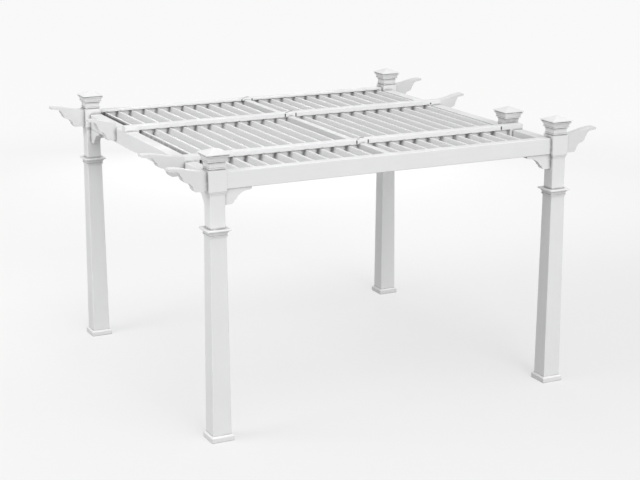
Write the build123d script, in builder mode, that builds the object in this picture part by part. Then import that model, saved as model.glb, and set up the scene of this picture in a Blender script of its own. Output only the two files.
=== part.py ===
from build123d import *
import os

os.makedirs("parts", exist_ok=True)

# Footprint, between post centres
span_x = 3380
span_y = 3226

# Post plinth and tapered shaft
plinth_w = 206
plinth_h = 55
plinth_chamfer = 14
shaft_foot_w = 170
shaft_top_w = 145
shaft_top_z = 1797

# Neck moulding: a bead, a cove and a wide thin ledge
neck_seat_half = 75
neck_bead_out = 7
neck_seat_h = 10
neck_bead_h = 14
neck_cove_foot_half = 78
neck_cove_h = 34
neck_cove_top_half = 99
neck_ledge_half = 106
neck_ledge_h = 10
neck_ledge_bevel = 5

# Straight upper post, and the head box over its top
post_w = 134
head_box_half = 80.5
head_box_z = 2187
head_box_top = 2370
necking_h = 14
necking_halves = (70.5, 74.5)

# Post cap, by half widths and heights
cap_collar_half = 70
cap_bead_half = 76
cap_ledge_half = 88
cap_cove_foot_half = 83
cap_cove_top_half = 98
cap_crown_half = 101
cap_gap_half = 95
cap_plate_half = 107
cap_peak_half = 6
cap_foot_h = 10
right_cap_foot_h = 35
cap_bead_h = 8
cap_band_h = 38
cap_ring_h = 7
cap_cove_h = 36
cap_plate_h = 8
cap_peak_h = 39

# Beams round the top, cross rafters and centre rail
beam_t = 90
side_beam_t = 110
beam_h = 148
beam_top = 2345
side_beam_drop = 31
rafter_rise = 20
rear_rafter_y = 540
front_rafter_y = -980
rail_w = 60
rail_h = 100
rail_drop = 15
right_cap_gap = 2
edge_ease = 4

# Ogee tail: distances in from its tip, heights above the beam's underside
tip_x = 2105
short_tip_x = 1995
left_tail_y = 800
full_reach = 370
tip_rise = 45
tip_h = 22
lip_length = 60
lip_drop = 6
tail_cove_end = (117, 138)
tail_lobe_top = 129
tail_lobe_end = (166, 84)
tail_hollow_end = (222, 52)
tail_toe_top = 231
tail_toe_end = 260

# Corbel: reaches from the post's centre, depths below the beam
corbel_t = 60
corbel_reach = 325
corbel_tip_h = 22
corbel_lip = (298, 28)
corbel_cove_end = (178, 100)
corbel_lobe_top = 166
corbel_lobe_end = 130
corbel_drop = 137

# Louvre slats, standing almost on edge, and the pockets for their rear ends
slats_per_bank = 11
slats_at_right_cap = 10
slat_pitch = 141
slat_w = 100
slat_t = 34
slat_round = 6
slat_tilt = 78
slat_centre_drop = 77
pocket_depth = 40
pocket_h = 110
pocket_land = 28

beam_foot = beam_top - beam_h
rafter_top = beam_top + rafter_rise
side_top = beam_top - side_beam_drop
side_foot = side_top - beam_h
neck_top_z = shaft_top_z + neck_seat_h + neck_bead_h + neck_cove_h + neck_ledge_h + neck_ledge_bevel
necking_z = head_box_z - len(necking_halves) * necking_h
half_x = span_x / 2
half_y = span_y / 2
box_outer_x = half_x + head_box_half
side_inner_x = half_x - head_box_half
side_outer_x = side_inner_x + side_beam_t
side_centre_x = (side_inner_x + side_outer_x) / 2
slat_z = beam_top - slat_centre_drop
corners = {
    "front_left": (-1, -1),
    "front_right": (1, -1),
    "rear_left": (-1, 1),
    "rear_right": (1, 1),
}


def upright(origin, direction):
    """Standing plane whose first axis runs along a level direction and whose second axis is up."""
    run = Vector(direction)
    return Plane(origin=origin, x_dir=run, z_dir=run.cross(Vector(0, 0, 1)))


def save(piece, name):
    """Label a finished piece and write it to its own file."""
    piece.label = name
    export_step(piece, f"parts/{name}.step")


def eased_section(width, height):
    """Rectangle with its corners taken off: the section of every straight member."""
    with BuildSketch() as outline:
        Rectangle(width, height)
        chamfer(outline.vertices(), edge_ease)
    return outline.sketch


def square_moulding(outline, origin, reach):
    """Solid with a square plan at every height: one outline stood along X and along Y, and crossed."""
    with BuildPart() as moulding:
        with BuildSketch(upright(origin, (1, 0, 0))):
            add(outline)
        extrude(amount=reach, both=True)
        with BuildSketch(upright(origin, (0, 1, 0))):
            add(outline)
        extrude(amount=reach, both=True, mode=Mode.INTERSECT)
    return moulding.part


def neck_outline():
    """Bead, cove and ledge of the neck moulding, mirrored about the post's centre line."""
    bead_top = neck_seat_h + neck_bead_h
    cove_top = bead_top + neck_cove_h
    ledge_top = cove_top + neck_ledge_h
    with BuildSketch() as outline:
        with BuildLine():
            Polyline((0, 0), (neck_seat_half, 0), (neck_seat_half, neck_seat_h))
            ThreePointArc(
                (neck_seat_half, neck_seat_h),
                (neck_seat_half + neck_bead_out, neck_seat_h + neck_bead_h / 2),
                (neck_seat_half, bead_top),
            )
            Line((neck_seat_half, bead_top), (neck_cove_foot_half, bead_top))
            TangentArc((neck_cove_foot_half, bead_top), (neck_cove_top_half, cove_top), tangent=(0, 1))
            Polyline(
                (neck_cove_top_half, cove_top),
                (neck_ledge_half, cove_top),
                (neck_ledge_half, ledge_top),
                (neck_ledge_half - neck_ledge_bevel, ledge_top + neck_ledge_bevel),
                (0, ledge_top + neck_ledge_bevel),
            )
            mirror(about=Plane.YZ)
        make_face()
    return outline.sketch


def head_box_outline():
    """Plain box on a necking of two small steps."""
    lower_half, upper_half = necking_halves
    box_foot = 2 * necking_h
    box_top = head_box_top - necking_z
    with BuildSketch() as outline:
        with BuildLine():
            Polyline(
                (0, 0),
                (lower_half, 0),
                (lower_half, necking_h),
                (upper_half, necking_h),
                (upper_half, box_foot),
                (head_box_half, box_foot),
                (head_box_half, box_top),
                (0, box_top),
            )
            mirror(about=Plane.YZ)
        make_face()
    return outline.sketch


def cap_outline(foot_h):
    """Foot, collar with two rings, ledge, cove, crown, shadow gap, overhanging plate and low peak."""
    bead_top = foot_h + cap_bead_h
    ring_foot = bead_top + cap_band_h
    ring_top = ring_foot + cap_ring_h
    ledge_foot = ring_top + cap_ring_h
    ledge_top = ledge_foot + cap_bead_h
    crown_foot = ledge_top + cap_cove_h
    crown_top = crown_foot + cap_ring_h
    plate_foot = crown_top + cap_ring_h
    plate_top = plate_foot + cap_plate_h
    with BuildSketch() as outline:
        with BuildLine():
            Polyline(
                (0, 0),
                (cap_collar_half, 0),
                (cap_collar_half, foot_h),
                (cap_bead_half, foot_h),
                (cap_bead_half, bead_top),
                (cap_collar_half, bead_top),
                (cap_collar_half, ring_foot),
                (cap_bead_half, ring_foot),
                (cap_bead_half, ring_top),
                (cap_collar_half, ring_top),
                (cap_collar_half, ledge_foot),
                (cap_ledge_half, ledge_foot),
                (cap_ledge_half, ledge_top),
                (cap_cove_foot_half, ledge_top),
            )
            TangentArc((cap_cove_foot_half, ledge_top), (cap_cove_top_half, crown_foot), tangent=(0, 1))
            Polyline(
                (cap_cove_top_half, crown_foot),
                (cap_crown_half, crown_foot),
                (cap_crown_half, crown_top),
                (cap_gap_half, crown_top),
                (cap_gap_half, plate_foot),
                (cap_plate_half, plate_foot),
                (cap_plate_half, plate_top),
                (cap_peak_half, plate_top + cap_peak_h),
                (0, plate_top + cap_peak_h),
            )
            mirror(about=Plane.YZ)
        make_face()
    return outline.sketch


# Four posts, each a plinth, tapered shaft, neck moulding, upper post, head box and cap
for corner, (side_x, side_y) in corners.items():
    x = side_x * half_x
    y = side_y * half_y

    with BuildPart() as plinth:
        with BuildSketch(Plane((x, y, 0))):
            Rectangle(plinth_w, plinth_w)
        extrude(amount=plinth_h)
        chamfer(plinth.faces().sort_by(Axis.Z)[-1].edges(), plinth_chamfer)
    save(plinth.part, f"post_base_{corner}")

    with BuildPart() as shaft:
        with BuildSketch(Plane((x, y, plinth_h))):
            add(eased_section(shaft_foot_w, shaft_foot_w))
        with BuildSketch(Plane((x, y, shaft_top_z))):
            add(eased_section(shaft_top_w, shaft_top_w))
        loft(ruled=True)
    save(shaft.part, f"post_shaft_{corner}")

    save(square_moulding(neck_outline(), (x, y, shaft_top_z), neck_ledge_half), f"neck_moulding_{corner}")

    with BuildPart() as upper_post:
        with BuildSketch(Plane((x, y, neck_top_z))):
            add(eased_section(post_w, post_w))
        extrude(amount=necking_z - neck_top_z)
    save(upper_post.part, f"upper_post_{corner}")

    save(square_moulding(head_box_outline(), (x, y, necking_z), head_box_half), f"head_box_{corner}")
    save(square_moulding(cap_outline(cap_foot_h), (x, y, head_box_top), cap_plate_half), f"post_cap_{corner}")

# A fifth cap, with a taller foot, stands on the right side beam close behind the front rafter
right_cap_y = front_rafter_y + beam_t / 2 + cap_bead_half + right_cap_gap
right_cap_seat = (side_centre_x, right_cap_y, side_top)
save(square_moulding(cap_outline(right_cap_foot_h), right_cap_seat, cap_plate_half), "right_beam_cap")


def slat_pockets(face_y):
    """Two long pockets in a member's front face, one to a bank, that take the slats' rear ends."""
    length = side_inner_x - 2 * pocket_land
    with BuildPart() as pockets:
        with Locations((0, face_y + pocket_depth / 2, slat_z)):
            with GridLocations(side_inner_x, 1, 2, 1):
                Box(length, pocket_depth, pocket_h)
    return pockets.part


# Front and rear beams run between the head boxes
for name, side_y in (("front_beam", -1), ("rear_beam", 1)):
    with BuildPart() as beam:
        with BuildSketch(upright((0, side_y * half_y, beam_top - beam_h / 2), (0, 1, 0))):
            add(eased_section(beam_t, beam_h))
        extrude(amount=half_x - head_box_half, both=True)
        if side_y > 0:
            add(slat_pockets(half_y - beam_t / 2), mode=Mode.SUBTRACT)
    save(beam.part, name)

# Side beams are thicker and lower, and flush with the inner faces of the head boxes
for name, side_x in (("left_beam", -1), ("right_beam", 1)):
    with BuildPart() as beam:
        with BuildSketch(upright((side_x * side_centre_x, 0, side_top - beam_h / 2), (1, 0, 0))):
            add(eased_section(side_beam_t, beam_h))
        extrude(amount=half_y - head_box_half, both=True)
    save(beam.part, name)

# Cross rafters are notched over the side beams and lie across them
for name, y in (("rear_rafter", rear_rafter_y), ("front_rafter", front_rafter_y)):
    with BuildPart() as rafter:
        with BuildSketch(upright((0, y, 0), (1, 0, 0))):
            with BuildLine():
                Polyline(
                    (0, beam_foot),
                    (side_inner_x, beam_foot),
                    (side_inner_x, side_top),
                    (side_outer_x, side_top),
                    (side_outer_x, rafter_top),
                    (0, rafter_top),
                )
                mirror(about=Plane.YZ)
            make_face()
        extrude(amount=beam_t / 2, both=True)
        long_edges = rafter.edges().filter_by(Axis.X).group_by(Axis.Z)
        chamfer(long_edges[-1] + long_edges[0], edge_ease)
        add(slat_pockets(y - beam_t / 2), mode=Mode.SUBTRACT)
    save(rafter.part, name)


def tail_outline(root, tip):
    """Ogee beam end with lengths in proportion to its reach: rising top, tip, cove, lobe, hollow and toe."""
    share = (tip - root) / full_reach
    tip_top = rafter_top + tip_rise
    tip_foot = tip_top - tip_h
    middle = ((root + tip) / 2, rafter_top + tip_rise / 2)
    lip_end = (tip - share * lip_length, tip_foot - lip_drop)
    cove_end = (tip - share * tail_cove_end[0], beam_foot + tail_cove_end[1])
    lobe_top = (tip - share * tail_lobe_top, cove_end[1])
    lobe_end = (tip - share * tail_lobe_end[0], beam_foot + tail_lobe_end[1])
    hollow_end = (tip - share * tail_hollow_end[0], beam_foot + tail_hollow_end[1])
    toe_top = (tip - share * tail_toe_top, hollow_end[1])
    toe_end = (tip - share * tail_toe_end, beam_foot)
    with BuildSketch() as outline:
        with BuildLine():
            TangentArc((root, rafter_top), middle, tangent=(1, 0))
            TangentArc((tip, tip_top), middle, tangent=(-1, 0))
            Polyline((tip, tip_top), (tip, tip_foot), lip_end)
            TangentArc(lip_end, cove_end, tangent=(-1, 0))
            Line(cove_end, lobe_top)
            TangentArc(lobe_top, lobe_end, tangent=(0, -1))
            TangentArc(lobe_end, hollow_end, tangent=(-1, 0))
            Line(hollow_end, toe_top)
            TangentArc(toe_top, toe_end, tangent=(0, -1))
            Polyline(toe_end, (root, beam_foot), (root, rafter_top))
        make_face()
    return outline.sketch


# Ogee tails: at the corners on the head boxes, two on the left side beam and one on the right
corner_tails = {half_y: (box_outer_x, tip_x), -half_y: (box_outer_x, tip_x)}
left_side_tails = {left_tail_y: (side_outer_x, short_tip_x), front_rafter_y: (side_outer_x, tip_x)}
right_side_tail = {rear_rafter_y: (side_outer_x, short_tip_x)}
tail_rows = {
    "left_tails": (-1, corner_tails | left_side_tails),
    "right_tails": (1, corner_tails | right_side_tail),
}
for name, (side_x, row) in tail_rows.items():
    with BuildPart() as tails:
        for y, (root, tip) in row.items():
            with BuildSketch(upright((0, y, 0), (side_x, 0, 0))):
                add(tail_outline(root, tip))
            extrude(amount=beam_t / 2, both=True)
    save(tails.part, name)


def corbel_outline(foot):
    """Ogee bracket under a beam's foot, with a straight back against the post."""
    lip = (corbel_lip[0], foot - corbel_lip[1])
    cove_end = (corbel_cove_end[0], foot - corbel_cove_end[1])
    lobe_top = (corbel_lobe_top, cove_end[1])
    lobe_end = (corbel_lobe_end, foot - corbel_drop)
    with BuildSketch() as outline:
        with BuildLine():
            Polyline((0, foot), (0, lobe_end[1]), lobe_end)
            TangentArc(lobe_top, lobe_end, tangent=(0, -1))
            Line(cove_end, lobe_top)
            TangentArc(lip, cove_end, tangent=(-1, 0))
            Polyline(lip, (corbel_reach, foot - corbel_tip_h), (corbel_reach, foot), (0, foot))
        make_face()
    return outline.sketch


# Two corbels at each post, one under each beam, cut to fit round the necking and the post
for corner, (side_x, side_y) in corners.items():
    x = side_x * half_x
    y = side_y * half_y
    with BuildPart() as corbels:
        for direction, foot in (((-side_x, 0, 0), beam_foot), ((0, -side_y, 0), side_foot)):
            with BuildSketch(upright((x, y, 0), direction)):
                add(corbel_outline(foot))
            extrude(amount=corbel_t / 2, both=True)
        add(square_moulding(head_box_outline(), (x, y, necking_z), head_box_half), mode=Mode.SUBTRACT)
        with BuildSketch(Plane((x, y, neck_top_z))):
            add(eased_section(post_w, post_w))
        extrude(amount=necking_z - neck_top_z, mode=Mode.SUBTRACT)
    save(corbels.part, f"corbels_{corner}")

# Roof bays, from the face in front to the face behind
bays = {
    "rear": (rear_rafter_y + beam_t / 2, half_y - beam_t / 2),
    "middle": (front_rafter_y + beam_t / 2, rear_rafter_y - beam_t / 2),
    "front": (-half_y + beam_t / 2, front_rafter_y - beam_t / 2),
}

# The centre rail splits each bay in two
with BuildPart() as centre_rail:
    for front_face, rear_face in bays.values():
        with BuildSketch(upright((0, rear_face, beam_top - rail_drop - rail_h / 2), (1, 0, 0))):
            add(eased_section(rail_w, rail_h))
        extrude(amount=rear_face - front_face)
save(centre_rail.part, "centre_rail")


def slat_outline():
    """Board with the two corners of its upper edge rounded."""
    with BuildSketch() as outline:
        Rectangle(slat_w, slat_t)
        fillet(outline.vertices().group_by(Axis.X)[-1], slat_round)
    return outline.sketch


# Louvre banks: slats all leaning the same way, spaced from the rail, one fewer beside the fifth cap
for bay, (front_face, rear_face) in bays.items():
    rear_end = rear_face + pocket_depth
    for side, side_x in (("left", -1), ("right", 1)):
        count = slats_at_right_cap if (bay, side) == ("front", "right") else slats_per_bank
        with BuildPart() as bank:
            with BuildSketch(upright((0, rear_end, slat_z), (1, 0, 0))):
                with Locations(*[(side_x * slat_pitch * (place + 1), 0) for place in range(count)]):
                    add(slat_outline(), rotation=slat_tilt)
            extrude(amount=rear_end - front_face)
        save(bank.part, f"louvres_{bay}_{side}")
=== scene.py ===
import math

import bpy
import numpy as np
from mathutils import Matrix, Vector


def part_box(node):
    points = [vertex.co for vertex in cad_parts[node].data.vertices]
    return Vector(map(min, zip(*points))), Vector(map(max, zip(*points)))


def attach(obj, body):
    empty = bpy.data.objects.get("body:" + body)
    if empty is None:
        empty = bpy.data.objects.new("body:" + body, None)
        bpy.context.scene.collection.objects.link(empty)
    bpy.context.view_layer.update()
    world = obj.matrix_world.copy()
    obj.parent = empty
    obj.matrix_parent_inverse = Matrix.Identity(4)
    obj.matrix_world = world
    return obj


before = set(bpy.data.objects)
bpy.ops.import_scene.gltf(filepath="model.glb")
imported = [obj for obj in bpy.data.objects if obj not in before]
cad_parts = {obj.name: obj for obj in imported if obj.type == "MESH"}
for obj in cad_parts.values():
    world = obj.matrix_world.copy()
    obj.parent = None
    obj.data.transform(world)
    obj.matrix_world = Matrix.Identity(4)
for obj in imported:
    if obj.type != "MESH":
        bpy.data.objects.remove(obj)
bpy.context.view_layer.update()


# Post plinths: four square feet moulded in white vinyl, with a bevelled shoulder all round.
# Each is slipped over the foot of its post and stands on the ground, so splashed soil reaches it first.
# The skin, weather and painted corner shade that all the vinyl shares are made here, where they are first
# needed.
def group_start(name, outputs, inputs):
    """Empty shader node group with named value sockets; gives its tree, input node and output node."""
    tree = bpy.data.node_groups.new(name, "ShaderNodeTree")
    for title, start in inputs.items():
        socket = tree.interface.new_socket(title, in_out="INPUT", socket_type="NodeSocketFloat")
        socket.default_value = start
    for title in outputs:
        tree.interface.new_socket(title, in_out="OUTPUT", socket_type="NodeSocketFloat")
    return tree, tree.nodes.new("NodeGroupInput"), tree.nodes.new("NodeGroupOutput")


def feed(tree, socket, value):
    """Give a socket its value: a link from another socket, or a plain number or colour."""
    if isinstance(value, bpy.types.NodeSocket):
        tree.links.new(value, socket)
    else:
        socket.default_value = value


def sum_node(tree, operation, first, second):
    """One sum of two sockets or numbers, such as first times second; gives the result's socket."""
    node = tree.nodes.new("ShaderNodeMath")
    node.operation = operation
    feed(tree, node.inputs[0], first)
    feed(tree, node.inputs[1], second)
    return node.outputs[0]


def ramp_node(tree, value, low, high):
    """Smooth step of a value: 0 at low, 1 at high, an S-curve between them."""
    node = tree.nodes.new("ShaderNodeMapRange")
    node.interpolation_type = "SMOOTHSTEP"
    tree.links.new(value, node.inputs["Value"])
    node.inputs["From Min"].default_value = low
    node.inputs["From Max"].default_value = high
    return node.outputs["Result"]


def noise_node(tree, vector, scale, detail):
    """Cloudy noise from 0 to 1 over a vector: scale clouds to the metre, with detail finer layers in them."""
    node = tree.nodes.new("ShaderNodeTexNoise")
    tree.links.new(vector, node.inputs["Vector"])
    feed(tree, node.inputs["Scale"], scale)
    node.inputs["Detail"].default_value = detail
    return node.outputs["Fac"]


def object_place(tree):
    """The place of a point on the object, in metres from its origin."""
    return tree.nodes.new("ShaderNodeTexCoord").outputs["Object"]


# The skin has broad faint clouds in its white, and the fine pebble that the tool or the die leaves
skin, skin_in, skin_out = group_start("vinyl_skin", ("Clouds", "Pebble"), {"Pebbles per metre": 260})
skin_place = object_place(skin)
clouds = noise_node(skin, skin_place, scale=2.3, detail=4)
pebble = noise_node(skin, skin_place, scale=skin_in.outputs["Pebbles per metre"], detail=2)
skin.links.new(ramp_node(skin, clouds, low=0.3, high=0.7), skin_out.inputs["Clouds"])
skin.links.new(pebble, skin_out.inputs["Pebble"])

# Dust lies in patches where a face looks up, and soil is splashed on the lowest hand's breadth
weather, weather_in, weather_out = group_start("garden_weather", ("Dust", "Soil"), {"Splash height": 0.12})
weather_place = object_place(weather)
facing = weather.nodes.new("ShaderNodeSeparateXYZ")
weather.links.new(weather.nodes.new("ShaderNodeNewGeometry").outputs["Normal"], facing.inputs[0])
looks_up = ramp_node(weather, facing.outputs["Z"], low=0.5, high=1.0)
patches = ramp_node(weather, noise_node(weather, weather_place, scale=7, detail=5), low=0.35, high=0.75)
weather.links.new(sum_node(weather, "MULTIPLY", looks_up, patches), weather_out.inputs["Dust"])
height = weather.nodes.new("ShaderNodeSeparateXYZ")
weather.links.new(weather_place, height.inputs[0])
specks = noise_node(weather, weather_place, scale=38, detail=5)
splash = sum_node(weather, "MULTIPLY", specks, weather_in.outputs["Splash height"])
splash_loss = 0.6
lost = sum_node(weather, "MULTIPLY", height.outputs["Z"], splash_loss)
low_down = sum_node(weather, "SUBTRACT", splash, lost)
weather.links.new(ramp_node(weather, low_down, low=0.0, high=0.075), weather_out.inputs["Soil"])

# Painted shade: darker, in uneven blotches, where other faces stand within reach and shelter a face
corners, corners_in, corners_out = group_start("corner_painted_shade", ("Painted shade",), {"Reach": 0.045})
open_share = corners.nodes.new("ShaderNodeAmbientOcclusion")
open_share.samples = 8
corners.links.new(corners_in.outputs["Reach"], open_share.inputs["Distance"])
sheltered = sum_node(corners, "SUBTRACT", 1.0, open_share.outputs["AO"])
shaded = ramp_node(corners, sheltered, low=0.06, high=0.5)
blotches = noise_node(corners, object_place(corners), scale=16, detail=4)
uneven = ramp_node(corners, blotches, low=0.0, high=0.65)
corners.links.new(sum_node(corners, "MULTIPLY", shaded, uneven), corners_out.inputs["Painted shade"])


def tint(tree, colour, mask, amount, shade):
    """A colour mixed toward a darker shade by amount times mask; gives the mixed colour's socket."""
    node = tree.nodes.new("ShaderNodeMix")
    node.data_type = "RGBA"
    tree.links.new(sum_node(tree, "MULTIPLY", mask, amount), node.inputs["Factor"])
    feed(tree, node.inputs["A"], colour)
    node.inputs["B"].default_value = (*shade, 1)
    return node.outputs["Result"]


def placed(tree, group, **values):
    """One use of a shader group in a material, with its own input values."""
    node = tree.nodes.new("ShaderNodeGroup")
    node.node_tree = group
    for title, value in values.items():
        node.inputs[title.replace("_", " ")].default_value = value
    return node


dust_grey = (0.65, 0.64, 0.62)
painted_shade_grey = (0.265, 0.265, 0.265)
soil_brown = (0.46, 0.43, 0.39)
cloud_shade = 0.955
line_depth = 1.5
satin_roughness = 0.40
cloud_roughness = 0.08
dust_roughness = 0.25
relief_strength = 0.35


def vinyl(name, white, pebbles, pebble_depth, shade_reach, lines=None):
    """Satin vinyl, its white mixed in turn with clouds, die lines, dust, painted shade in the corners and
    soil, each by a mask.
    Roughness is satin plus shares of clouds and dust; bump is pebble plus die lines, pebble_depth deep."""
    finish = bpy.data.materials.new(name)
    finish.use_nodes = True
    tree = finish.node_tree
    shader = tree.nodes["Principled BSDF"]
    surface = placed(tree, skin, Pebbles_per_metre=pebbles)
    outdoors = placed(tree, weather)
    corner_shade = placed(tree, corners, Reach=shade_reach)
    shade = tuple(cloud_shade * channel for channel in white)
    colour = tint(tree, (*white, 1), surface.outputs["Clouds"], amount=0.6, shade=shade)
    relief = surface.outputs["Pebble"]
    if lines:
        drawn = placed(tree, lines).outputs["Lines"]
        colour = tint(tree, colour, drawn, amount=0.35, shade=shade)
        relief = sum_node(tree, "ADD", relief, sum_node(tree, "MULTIPLY", drawn, line_depth))
    colour = tint(tree, colour, outdoors.outputs["Dust"], amount=0.18, shade=dust_grey)
    # Painted shade: the white is darkened toward grey where nearby faces shelter it, in corners, joints and
    # hollows
    colour = tint(tree, colour, corner_shade.outputs["Painted shade"], amount=0.9, shade=painted_shade_grey)
    colour = tint(tree, colour, outdoors.outputs["Soil"], amount=0.10, shade=soil_brown)
    tree.links.new(colour, shader.inputs["Base Color"])
    clouded = sum_node(tree, "MULTIPLY", surface.outputs["Clouds"], cloud_roughness)
    dulled = sum_node(tree, "MULTIPLY", outdoors.outputs["Dust"], dust_roughness)
    satin = sum_node(tree, "ADD", clouded, satin_roughness)
    tree.links.new(sum_node(tree, "ADD", satin, dulled), shader.inputs["Roughness"])
    bump = tree.nodes.new("ShaderNodeBump")
    bump.inputs["Strength"].default_value = relief_strength
    bump.inputs["Distance"].default_value = pebble_depth
    tree.links.new(relief, bump.inputs["Height"])
    tree.links.new(bump.outputs["Normal"], shader.inputs["Normal"])
    return finish


weld_gap = 1e-5
sharp_turn = math.radians(40)


def dress(names, finish, soft_edge=0):
    """Give CAD nodes a finish; where soft_edge is given, round each edge sharper than sharp_turn by it."""
    for name in names:
        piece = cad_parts[name]
        piece.data.materials.clear()
        piece.data.materials.append(finish)
        if soft_edge:
            piece.modifiers.new("join", "WELD").merge_threshold = weld_gap
            arris = piece.modifiers.new("arris", "BEVEL")
            arris.width = soft_edge
            arris.segments = 2
            arris.limit_method = "ANGLE"
            arris.angle_limit = sharp_turn


corner_names = ("front_left", "front_right", "rear_left", "rear_right")
mould_pebbles = 420
mould_pebble_depth = 0.0004
plinth_white = (0.875, 0.875, 0.875)
plinth_vinyl = vinyl("plinth_vinyl", plinth_white, mould_pebbles, mould_pebble_depth, shade_reach=0.012)
dress([f"post_base_{corner}" for corner in corner_names], plinth_vinyl, soft_edge=0.0025)


# Post shafts and upper posts: hollow square vinyl sleeves over a core, tapered below and straight above.
# The die leaves faint lines along them; they are dropped over the cores, and the trim hides their ends.
def die_lines(name, stretch):
    """Lines along one axis: noise over the place times stretch, a hundredfold finer across than along."""
    tree, _, ends = group_start(name, ("Lines",), {})
    drawn_out = tree.nodes.new("ShaderNodeVectorMath")
    drawn_out.operation = "MULTIPLY"
    tree.links.new(object_place(tree), drawn_out.inputs[0])
    drawn_out.inputs[1].default_value = stretch
    streaks = noise_node(tree, drawn_out.outputs[0], scale=1, detail=3)
    tree.links.new(ramp_node(tree, streaks, low=0.3, high=0.75), ends.inputs["Lines"])
    return tree


frame_white = (0.86, 0.862, 0.866)
die_pebbles = 300
die_pebble_depth = 0.0003
frame_reach = 0.03
across = 140
along = 1.2
post_lines = die_lines("lines_up_the_post", (across, across, along))
post_vinyl = vinyl("post_vinyl", frame_white, die_pebbles, die_pebble_depth, frame_reach, post_lines)
dress([f"post_shaft_{corner}" for corner in corner_names], post_vinyl)
dress([f"upper_post_{corner}" for corner in corner_names], post_vinyl)

# Neck mouldings: mitred vinyl trim of a bead, a cove and a thin ledge, glued round the top of each shaft.
# They cover the step from the tapered shaft to the narrower post.
mould_white = (0.865, 0.865, 0.865)
mould_reach = 0.055
moulded_vinyl = vinyl("moulded_vinyl", mould_white, mould_pebbles, mould_pebble_depth, mould_reach)
dress([f"neck_moulding_{corner}" for corner in corner_names], moulded_vinyl, soft_edge=0.0015)

# Head boxes: square vinyl housings on a two-step necking, slid over the post where the beams meet.
# The beam ends are screwed into them from inside.
dress([f"head_box_{corner}" for corner in corner_names], moulded_vinyl, soft_edge=0.003)

# Corbels: sawn ogee brackets under each beam beside the post, solid cellular vinyl.
# They are screwed up into the beam and sideways into the post.
dress([f"corbels_{corner}" for corner in corner_names], moulded_vinyl, soft_edge=0.002)

# Front and rear beams: hollow vinyl extrusions between the head boxes, with die lines along the front.
# The cross rafters are the same extrusion, hung between the side beams by a tongue over each.
cross_lines = die_lines("lines_along_the_front", (along, across, across))
cross_vinyl = vinyl("cross_vinyl", frame_white, die_pebbles, die_pebble_depth, frame_reach, cross_lines)
dress(("front_beam", "rear_beam", "front_rafter", "rear_rafter"), cross_vinyl)

# Side beams and centre rail: the same vinyl drawn along the depth of the roof.
# The side beams are thicker and lower, flush with the inner faces of the head boxes, and screwed to them.
# The rail is butted between the rafters.
side_lines = die_lines("lines_along_the_depth", (across, along, across))
side_vinyl = vinyl("side_vinyl", frame_white, die_pebbles, die_pebble_depth, frame_reach, side_lines)
dress(("left_beam", "right_beam", "centre_rail"), side_vinyl)


# Rail catches and clips: small stamped plates of dark zinc-plated steel, screwed on where the rail ends.
# Both rafters and the rear beam have a catch on each side of the rail, on the front, and two flat clips
# on the top. One more catch stands alone near the right end of the front rafter.
def rings_piece(name, rings, places, finish):
    """Closed surface: quads from each ring of points to the next and a flat cap at each end,
    copied to each place."""
    count, sides = rings.shape[:2]
    points = (np.asarray(places)[:, None, None, :] + rings).reshape(-1, 3)
    step = np.arange(sides)
    onward = np.roll(step, -1)
    band = np.stack([step, onward, onward + sides, step + sides], axis=-1)
    walls = (band + sides * np.arange(count - 1)[:, None, None]).reshape(-1, 4)
    ends = np.stack([step[::-1], step + sides * (count - 1)])
    shift = (count * sides * np.arange(len(places)))[:, None, None]
    faces = (walls + shift).reshape(-1, 4).tolist() + (ends + shift).reshape(-1, sides).tolist()
    mesh = bpy.data.meshes.new(name)
    mesh.from_pydata(points.tolist(), [], faces)
    mesh.materials.append(finish)
    mesh.shade_smooth()
    mesh.set_sharp_from_angle(angle=sharp_turn)
    piece = bpy.data.objects.new(name, mesh)
    bpy.context.scene.collection.objects.link(piece)
    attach(piece, "root")


plate_sides = 16
plate_squareness = 0.4
plate_levels = np.array([0, 0.7, 1])[:, None]
plate_shrink = np.array([1, 1, 0.82])[:, None]


def plate_rings(width, height, thickness, toward):
    """Rounded plate: a superellipse of width and height, carried through the thickness, its end drawn in.
    Toward the front it stands on the front face of a member; otherwise it lies on the top."""
    turn = np.linspace(0, 2 * np.pi, plate_sides + 1)[:-1]
    out = np.sign(np.cos(turn)) * np.abs(np.cos(turn)) ** plate_squareness * width / 2
    up = np.sign(np.sin(turn)) * np.abs(np.sin(turn)) ** plate_squareness * height / 2
    level = plate_levels * thickness + 0 * turn
    if toward == "front":
        return np.stack([out * plate_shrink, -level, up * plate_shrink], axis=-1)
    return np.stack([out * plate_shrink, up * plate_shrink, level], axis=-1)


def steel(name, grey, pale_share, fine_patches):
    """Zinc-plated steel: a grey mixed toward a paler one by fine patches, which are also rougher."""
    finish = bpy.data.materials.new(name)
    finish.use_nodes = True
    tree = finish.node_tree
    shader = tree.nodes["Principled BSDF"]
    surface = placed(tree, skin, Pebbles_per_metre=fine_patches)
    pale = tuple(pale_share * channel for channel in grey)
    colour = tint(tree, (*grey, 1), surface.outputs["Pebble"], amount=0.7, shade=pale)
    tree.links.new(colour, shader.inputs["Base Color"])
    smooth_roughness = 0.3
    patch_roughness = 0.3
    rougher = sum_node(tree, "MULTIPLY", surface.outputs["Pebble"], patch_roughness)
    tree.links.new(sum_node(tree, "ADD", rougher, smooth_roughness), shader.inputs["Roughness"])
    shader.inputs["Metallic"].default_value = 0.6
    return finish


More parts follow.
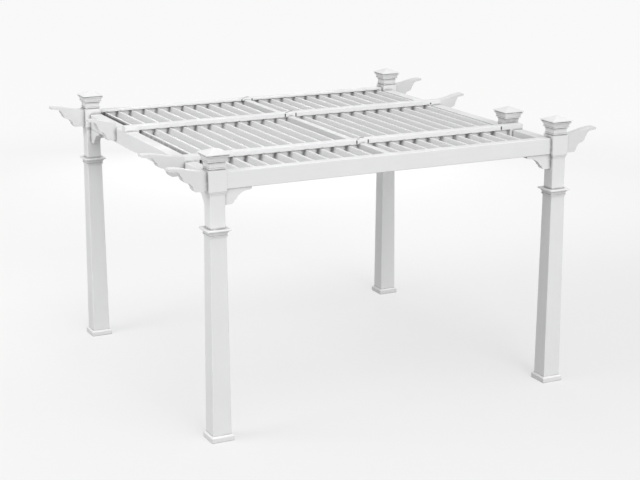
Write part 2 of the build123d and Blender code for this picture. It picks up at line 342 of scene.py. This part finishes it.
dark_steel = steel("dark_steel", grey=(0.07, 0.07, 0.075), pale_share=1.6, fine_patches=900)
catch_width = 0.010
catch_height = 0.034
catch_thickness = 0.004
catch_below_top = 0.004
catch_drop = catch_below_top + catch_height / 2
catch_from_rail = 0.028
lone_catch_from_beam = 0.1295
clip_width = 0.007
clip_thickness = 0.003
long_clip = 0.050
long_clip_from_rear = 0.012
short_clip = 0.030
short_clip_from_front = 0.025
rail_low, rail_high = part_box("centre_rail")
right_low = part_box("right_beam")[0]
catch_places = []
long_clip_places = []
short_clip_places = []
for name in ("front_rafter", "rear_rafter", "rear_beam"):
    low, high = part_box(name)
    catch_places.append((rail_low.x - catch_from_rail, low.y, high.z - catch_drop))
    catch_places.append((rail_high.x + catch_from_rail, low.y, high.z - catch_drop))
    long_clip_places.append((rail_high.x, high.y - long_clip_from_rear, high.z))
    short_clip_places.append((rail_low.x, low.y + short_clip_from_front, high.z))
front_low, front_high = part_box("front_rafter")
catch_places.append((right_low.x - lone_catch_from_beam, front_low.y, front_high.z - catch_drop))
catch_rings = plate_rings(catch_width, catch_height, catch_thickness, "front")
long_clip_rings = plate_rings(long_clip, clip_width, clip_thickness, "top")
short_clip_rings = plate_rings(short_clip, clip_width, clip_thickness, "top")
rings_piece("rail_catches", catch_rings, catch_places, dark_steel)
rings_piece("long_clips", long_clip_rings, long_clip_places, dark_steel)
rings_piece("short_clips", short_clip_rings, short_clip_places, dark_steel)


# Rafter bolts: two round-headed bolts of the same dark steel at the right end of the rear rafter.
# Only their turned heads show, one above the other on its front face, close to the side beam.
def turned_rings(stations, radii, sides):
    """Turned piece along the depth: a circle of its own radius at each station, closed by flat ends."""
    turn = np.linspace(0, 2 * np.pi, sides + 1)[:-1]
    reach = np.asarray(radii)[:, None]
    depth = np.asarray(stations)[:, None] + 0 * turn
    return np.stack([reach * np.cos(turn), depth, -reach * np.sin(turn)], axis=-1)


bolt_radius = 0.008
bolt_shoulder_radius = 0.006
bolt_crown_radius = 0.002
bolt_rim = 0.003
bolt_shoulder = 0.005
bolt_crown = 0.006
bolt_sides = 12
upper_bolt_from_beam = 0.0125
upper_bolt_below_top = 0.030
lower_bolt_from_beam = 0.0145
lower_bolt_below_top = 0.078
rear_low, rear_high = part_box("rear_rafter")
bolt_stations = [0, -bolt_rim, -bolt_shoulder, -bolt_crown]
bolt_radii = [bolt_radius, bolt_radius, bolt_shoulder_radius, bolt_crown_radius]
# The head grows forwards, so each ring runs the other way round to keep its faces outwards
bolt_rings = turned_rings(bolt_stations, bolt_radii, bolt_sides)[:, ::-1]
bolt_places = [
    (right_low.x - upper_bolt_from_beam, rear_low.y, rear_high.z - upper_bolt_below_top),
    (right_low.x - lower_bolt_from_beam, rear_low.y, rear_high.z - lower_bolt_below_top),
]
rings_piece("rafter_bolts", bolt_rings, bolt_places, dark_steel)

# Control rod: a dark steel rod in the gap between the left side beam and the first slat of the rear bay.
# It runs from the rear rafter, where it has a collar, to the rear beam, with a turned knob near that end.
rod_radius = 0.005
rod_from_beam = 0.015
rod_above_beam = 0.003
rod_sides = 16
collar_radius = 0.010
collar_length = 0.020
knob_radius = 0.013
knob_end_radius = 0.009
knob_far = 0.055
knob_slope = 0.010
knob_length = 0.045
left_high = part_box("left_beam")[1]
rod_start = rear_high.y
rod_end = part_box("rear_beam")[0].y
collar_end = rod_start + collar_length
knob_end = rod_end - knob_far
knob_start = knob_end - knob_length
rod_stations = [rod_start, collar_end, collar_end, knob_start, knob_start, knob_start + knob_slope,
                knob_end - knob_slope, knob_end, knob_end, rod_end]
rod_radii = [collar_radius, collar_radius, rod_radius, rod_radius, knob_end_radius, knob_radius,
             knob_radius, knob_end_radius, rod_radius, rod_radius]
rod_place = (left_high.x + rod_from_beam, 0, left_high.z + rod_above_beam)
rod_rings = turned_rings(rod_stations, rod_radii, rod_sides)
rings_piece("control_rod", rod_rings, [rod_place], dark_steel)

# Tails: sawn ogee beam ends of solid cellular vinyl, glued and screwed to the head boxes and the side beams.
# Their white is a little darker than the moulded trim's, painted shade for the shade on their faces, and
# their edges a little rounder.
tail_shaded_white = (0.80, 0.80, 0.80)
sawn_vinyl = vinyl("sawn_vinyl", tail_shaded_white, mould_pebbles, mould_pebble_depth, mould_reach)
dress(("left_tails", "right_tails"), sawn_vinyl, soft_edge=0.003)

# Louvre slats: hollow vinyl boards with a rounded top edge, standing almost on edge from rafter to rafter.
# Each turns on a pin, and its rear end runs into a pocket. They are a touch whiter than the frame, and
# the painted shade reaches further over them, darkening their lower faces and the pockets, because each slat
# shelters the next.
slat_white = (0.885, 0.887, 0.89)
slat_reach = 0.105
slat_across = 160
slat_along = 1.5
slat_lines = die_lines("lines_along_the_slat", (slat_across, slat_along, slat_across))
slat_vinyl = vinyl("slat_vinyl", slat_white, die_pebbles, die_pebble_depth, slat_reach, slat_lines)
dress([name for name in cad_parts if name.startswith("louvres_")], slat_vinyl)

# Post caps: moulded vinyl caps, hollow, with a collar, a cove, a shadow gap and a low pointed plate.
# Four are pushed down over the head boxes, and the fifth is glued to the right side beam.
cap_names = [f"post_cap_{corner}" for corner in corner_names] + ["right_beam_cap"]
dress(cap_names, moulded_vinyl, soft_edge=0.002)

# Studio floor: one wide sheet of matt pale card that the object stands on and that keeps its soft shadow.
# It throws little light back to the undersides. Where it is looked at it is paler and glows a little,
# more behind the object, painted light that lifts the roof's shadow there, and far off, so that it runs into
# the white backdrop.
floor_reach = 40
bounce_grey = 0.28
seen_grey = 0.35
glow_near = 0.525
painted_lift_behind = 0.065
glow_far = 0.13
floor_mesh = bpy.data.meshes.new("studio_floor")
floor_corners = floor_reach * np.array([(-1, -1, 0), (1, -1, 0), (1, 1, 0), (-1, 1, 0)])
floor_mesh.from_pydata(floor_corners.tolist(), [], [(0, 1, 2, 3)])
floor = bpy.data.objects.new("studio_floor", floor_mesh)
bpy.context.scene.collection.objects.link(floor)
floor_paint = bpy.data.materials.new("floor_paint")
floor_paint.use_nodes = True
paint = floor_paint.node_tree
matt = paint.nodes["Principled BSDF"]
matt.inputs["Base Color"].default_value = (bounce_grey, bounce_grey, bounce_grey, 1)
matt.inputs["Roughness"].default_value = 1
seen_matt = paint.nodes.new("ShaderNodeBsdfDiffuse")
seen_matt.inputs["Color"].default_value = (seen_grey, seen_grey, seen_grey, 1)
floor_place = object_place(paint)
depth = paint.nodes.new("ShaderNodeSeparateXYZ")
paint.links.new(floor_place, depth.inputs[0])
away = paint.nodes.new("ShaderNodeVectorMath")
away.operation = "LENGTH"
paint.links.new(floor_place, away.inputs[0])
behind = ramp_node(paint, depth.outputs["Y"], low=-0.5, high=4.0)
far_off = ramp_node(paint, away.outputs["Value"], low=6.0, high=14.0)
# Painted light: the floor behind the object glows more, lifting the shadow the roof casts there
behind_painted_lift = sum_node(paint, "MULTIPLY", behind, painted_lift_behind)
far_glow = sum_node(paint, "MULTIPLY", far_off, glow_far)
lift_and_fade = sum_node(paint, "MAXIMUM", behind_painted_lift, far_glow)
glow = paint.nodes.new("ShaderNodeEmission")
paint.links.new(sum_node(paint, "ADD", lift_and_fade, glow_near), glow.inputs["Strength"])
lit = paint.nodes.new("ShaderNodeAddShader")
paint.links.new(seen_matt.outputs[0], lit.inputs[0])
paint.links.new(glow.outputs[0], lit.inputs[1])


def seen_ray(tree):
    """1 for rays that show the studio: camera, mirror or clear glass; 0 for rays that light the object."""
    path = tree.nodes.new("ShaderNodeLightPath")
    mirrored = sum_node(tree, "MAXIMUM", path.outputs["Is Glossy Ray"], path.outputs["Is Transmission Ray"])
    return sum_node(tree, "MAXIMUM", path.outputs["Is Camera Ray"], mirrored)


shown = paint.nodes.new("ShaderNodeMixShader")
paint.links.new(seen_ray(paint), shown.inputs[0])
paint.links.new(matt.outputs[0], shown.inputs[1])
paint.links.new(lit.outputs[0], shown.inputs[2])
paint.links.new(shown.outputs[0], paint.nodes["Material Output"].inputs["Surface"])
floor_mesh.materials.append(floor_paint)

# Studio air: the white walls and ceiling of the studio, which light the object evenly from all round.
# Where they are looked at they are one nearly white backdrop.
air_strength = 0.46
backdrop_white = 0.96
air = bpy.data.worlds.new("studio_air")
bpy.context.scene.world = air
air.use_nodes = True
sky = air.node_tree
walls = sky.nodes["Background"]
walls.inputs["Color"].default_value = (1, 1, 1, 1)
walls.inputs["Strength"].default_value = air_strength
backdrop = sky.nodes.new("ShaderNodeBackground")
backdrop.inputs["Color"].default_value = (backdrop_white, backdrop_white, backdrop_white, 1)
view = sky.nodes.new("ShaderNodeMixShader")
sky.links.new(seen_ray(sky), view.inputs[0])
sky.links.new(walls.outputs[0], view.inputs[1])
sky.links.new(backdrop.outputs[0], view.inputs[2])
sky.links.new(view.outputs[0], sky.nodes["World Output"].inputs["Surface"])


# Key light: a broad softbox hung far above the front of the roof.
# It makes the tops the brightest faces, and lays the roof's soft shadow on the floor below it.
def light(name, kind, energy, location, turn, size):
    """One studio light, turned by degrees about X, Y and Z: a far softbox with its angle as size,
    or a panel with its width and height."""
    lamp = bpy.data.objects.new(name, bpy.data.lights.new(name, kind))
    bpy.context.scene.collection.objects.link(lamp)
    lamp.data.energy = energy
    lamp.location = location
    lamp.rotation_euler = [math.radians(angle) for angle in turn]
    if kind == "SUN":
        lamp.data.angle = math.radians(size)
    else:
        lamp.data.shape = "RECTANGLE"
        lamp.data.size, lamp.data.size_y = size


light("key", "SUN", energy=0.73, location=(0, 0, 8), turn=(15, 0, 4), size=40)

# Front lights: a far softbox, a quarter of the way up the sky, which lights shafts and beams alike and leaves
# the hollows under the mouldings dark, and a near panel that makes the front corners the brighter ones.
light("front_light", "SUN", energy=1.1, location=(0, -6, 6), turn=(66, 0, -3), size=30)
light("front_panel", "AREA", energy=46, location=(0.5, -7.0, 3.6), turn=(66, 0, 4), size=(4, 2))

# Left panels: a high one, whose light falls between the slats, and a low one for the left faces of the posts.
# Both stand well off to the side, so that their light on the floor stays even.
light("high_panel", "AREA", energy=250, location=(-9.0, 0.0, 8.0), turn=(0, -55, 0), size=(4, 5))
light("low_panel", "AREA", energy=84, location=(-8.5, -1.0, 1.7), turn=(0, -90, 0), size=(1.4, 5))

# Rear panel: an upright panel behind the right corner, clear of the floor.
# It lights the faces that look away from the camera.
light("rear_panel", "AREA", energy=150, location=(4.0, 9.5, 2.6), turn=(92, 0, 155), size=(5, 2.5))

# Camera: above and before the front left corner, where the photograph was taken from.
# Its focal length is given in the photograph's pixels, and its turns in radians.
photo_width = 640
focal_pixels = 1539.66
sensor_width = 36
look_down = 0.2592
look_right = 0.4592
camera = bpy.data.objects.new("camera", bpy.data.cameras.new("camera"))
bpy.context.scene.collection.objects.link(camera)
camera.location = (-6.3959, -13.0944, 5.0461)
camera.rotation_euler = (math.pi / 2 - look_down, 0, -look_right)
camera.data.sensor_width = sensor_width
camera.data.lens = focal_pixels / photo_width * sensor_width
bpy.context.scene.camera = camera
bpy.context.scene.view_settings.view_transform = "Standard"
